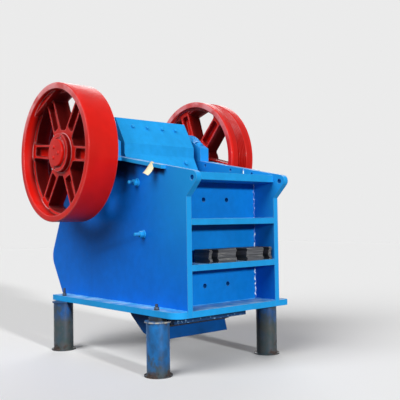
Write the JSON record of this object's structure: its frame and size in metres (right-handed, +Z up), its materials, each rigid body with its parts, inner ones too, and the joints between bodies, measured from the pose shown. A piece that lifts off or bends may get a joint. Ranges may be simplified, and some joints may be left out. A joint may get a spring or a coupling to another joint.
{
  "type": "jaw crusher",
  "caption": "Single-toggle jaw crusher with toothed jaw plates, a flywheel, a belt sheave and a welded plate frame on pipe legs.",
  "frame": {"origin": "centre of the overall box on the floor, under the four legs", "axes": "+X towards the front wall and lifting lugs, +Y towards the grooved sheave, +Z up"},
  "size_m": [2.6906, 2.26, 2.913],
  "materials": {
    "blue_paint": "semi-gloss enamel",
    "light_blue_paint": "semi-gloss enamel",
    "leg_paint": "worn, with rust",
    "red_paint": "semi-gloss enamel",
    "bare_steel": "machined or rolled, lightly oxidised",
    "wear_steel": "as cast"
  },
  "bodies": {
    "frame": {"side_plate_left": "blue_paint", "side_plate_right": "blue_paint", "base_flange_left": "light_blue_paint", "base_flange_right": "light_blue_paint", "front_wall": "blue_paint", "front_rib_top": "light_blue_paint", "front_rib_upper": "light_blue_paint", "front_rib_lower": "light_blue_paint", "base_bar_front": "light_blue_paint", "base_bar_rear": "blue_paint", "rear_wall": "blue_paint", "rear_ribs": "blue_paint", "bearing_ledge_left": "light_blue_paint", "bearing_ledge_right": "light_blue_paint", "bearing_housing_left": "blue_paint", "bearing_housing_right": "blue_paint", "housing_bolts": "blue_paint", "fixed_jaw_plate": "wear_steel", "cheek_plates_left": "wear_steel", "cheek_plates_right": "wear_steel", "cheek_bolts": "light_blue_paint", "toggle_seat": "bare_steel", "toggle_block": "blue_paint", "tension_springs": "bare_steel", "shim_stack": "bare_steel", "leg_front_left": "leg_paint", "leg_front_right": "leg_paint", "leg_rear_left": "leg_paint", "leg_rear_right": "leg_paint", "leg_bolts": "bare_steel"},
    "rotor": {"main_shaft": "bare_steel", "flywheel": "red_paint", "sheave": "red_paint", "shaft_caps": "red_paint"},
    "jaw": {"moving_jaw": "blue_paint", "moving_jaw_plate": "wear_steel", "jaw_plate_wedge": "blue_paint", "jaw_bearings": "bare_steel", "jaw_guard": "light_blue_paint", "guard_brackets": "blue_paint", "guard_bolts": "light_blue_paint", "tension_rods": "bare_steel"},
    "toggle": {"toggle_plate": "bare_steel"}
  },
  "joints": [
    {"name": "rotor_spin", "type": "hinge", "parent": "frame", "child": "rotor", "pos_m": [-0.38456, 0, 2.179], "axis": [0, 1, 0], "continuous": true},
    {"name": "jaw_swing", "type": "hinge", "parent": "frame", "child": "jaw", "pos_m": [-0.38456, 0, 2.179], "axis": [0, 1, 0], "range_deg": [0, 0.6]},
    {"name": "toggle_rock", "type": "hinge", "parent": "frame", "child": "toggle", "pos_m": [-0.63756, 0, 0.955], "axis": [0, 1, 0], "range_deg": [0, 0.83]}
  ],
  "couplings": [
    {"joint": "toggle_rock", "follows": "jaw_swing", "ratio": 1.368}
  ]
}
